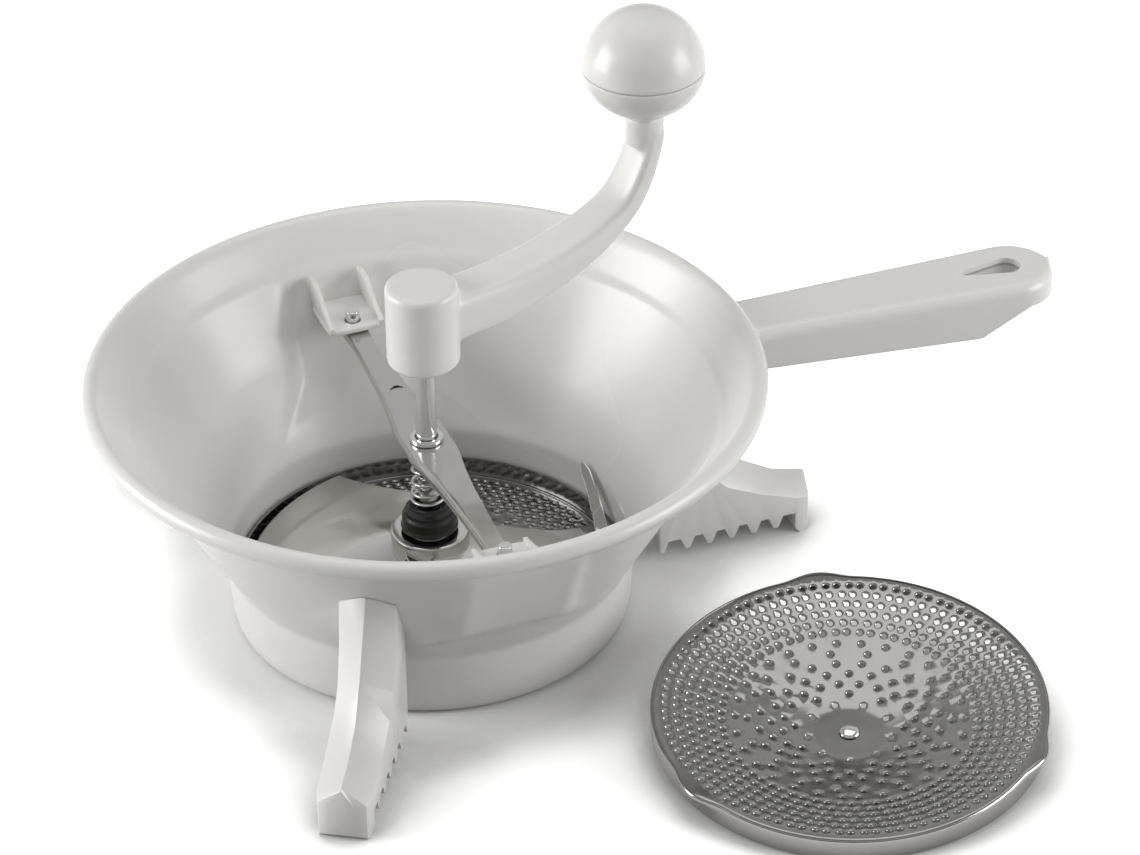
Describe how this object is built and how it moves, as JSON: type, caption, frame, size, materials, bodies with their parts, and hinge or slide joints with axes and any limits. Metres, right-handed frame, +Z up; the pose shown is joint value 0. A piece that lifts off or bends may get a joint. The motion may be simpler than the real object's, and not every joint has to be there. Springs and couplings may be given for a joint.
{
  "type": "food mill",
  "caption": "Hand cranked food mill: flared bowl with handle and toothed feet, spring-pressed blade over a dished sieve disc, and a spare disc beside it.",
  "frame": {"origin": "on the table under the middle of the box round the mill and its spare disc; the crank axis stands at x -0.0585, y 0.038156", "axes": "+X along the handle, +Y along the bridge bar away from the spare disc, +Z up along the crank axis"},
  "size_m": [0.3569, 0.3268, 0.2097],
  "materials": {
    "white_plastic": "moulded off-white plastic, glossy",
    "black_plastic": "moulded black plastic, satin",
    "polished_steel": "pressed stainless sheet, bright polished",
    "turned_steel": "turned steel, chromed",
    "spring_steel": "drawn spring wire, bright"
  },
  "bodies": {
    "bowl": {"bowl": "white_plastic", "handle": "white_plastic", "side_foot": "white_plastic", "front_foot": "white_plastic", "rear_foot": "white_plastic", "bridge_bar": "polished_steel", "bridge_pin_front": "turned_steel", "bridge_pin_back": "turned_steel", "bridge_bush": "turned_steel", "fitted_disc": "polished_steel", "fitted_disc_button": "turned_steel", "pressure_spring": "spring_steel"},
    "press": {"spring_cup": "black_plastic", "thrust_washer": "turned_steel"},
    "crank": {"crank_shaft": "turned_steel", "crank_arm": "white_plastic", "blade": "polished_steel", "blade_hub": "turned_steel", "shaft_nut": "turned_steel", "knob_spindle": "turned_steel", "knob_clip": "turned_steel"},
    "knob": {"knob_base": "white_plastic", "knob_cap": "white_plastic"},
    "spare_disc": {"spare_disc": "polished_steel", "spare_disc_button": "turned_steel"}
  },
  "joints": [
    {"name": "press_slide", "type": "slide", "parent": "bowl", "child": "press", "axis": [0, 0, 1], "range_m": [0, 0.004], "stiffness_N_per_m": 1500, "springref_m": -0.006, "deforming": ["pressure_spring"]},
    {"name": "crank_turn", "type": "hinge", "parent": "press", "child": "crank", "pos_m": [-0.0585, 0.03816, 0.07], "axis": [0, 0, 1], "continuous": true},
    {"name": "knob_turn", "type": "hinge", "parent": "crank", "child": "knob", "pos_m": [0.03281, 0.06008, 0.188], "axis": [0, 0, 1], "continuous": true},
    {"name": "spare_disc_lift", "type": "slide", "parent": "bowl", "child": "spare_disc", "axis": [0, 0, 1], "range_m": [0, 0.03]}
  ]
}
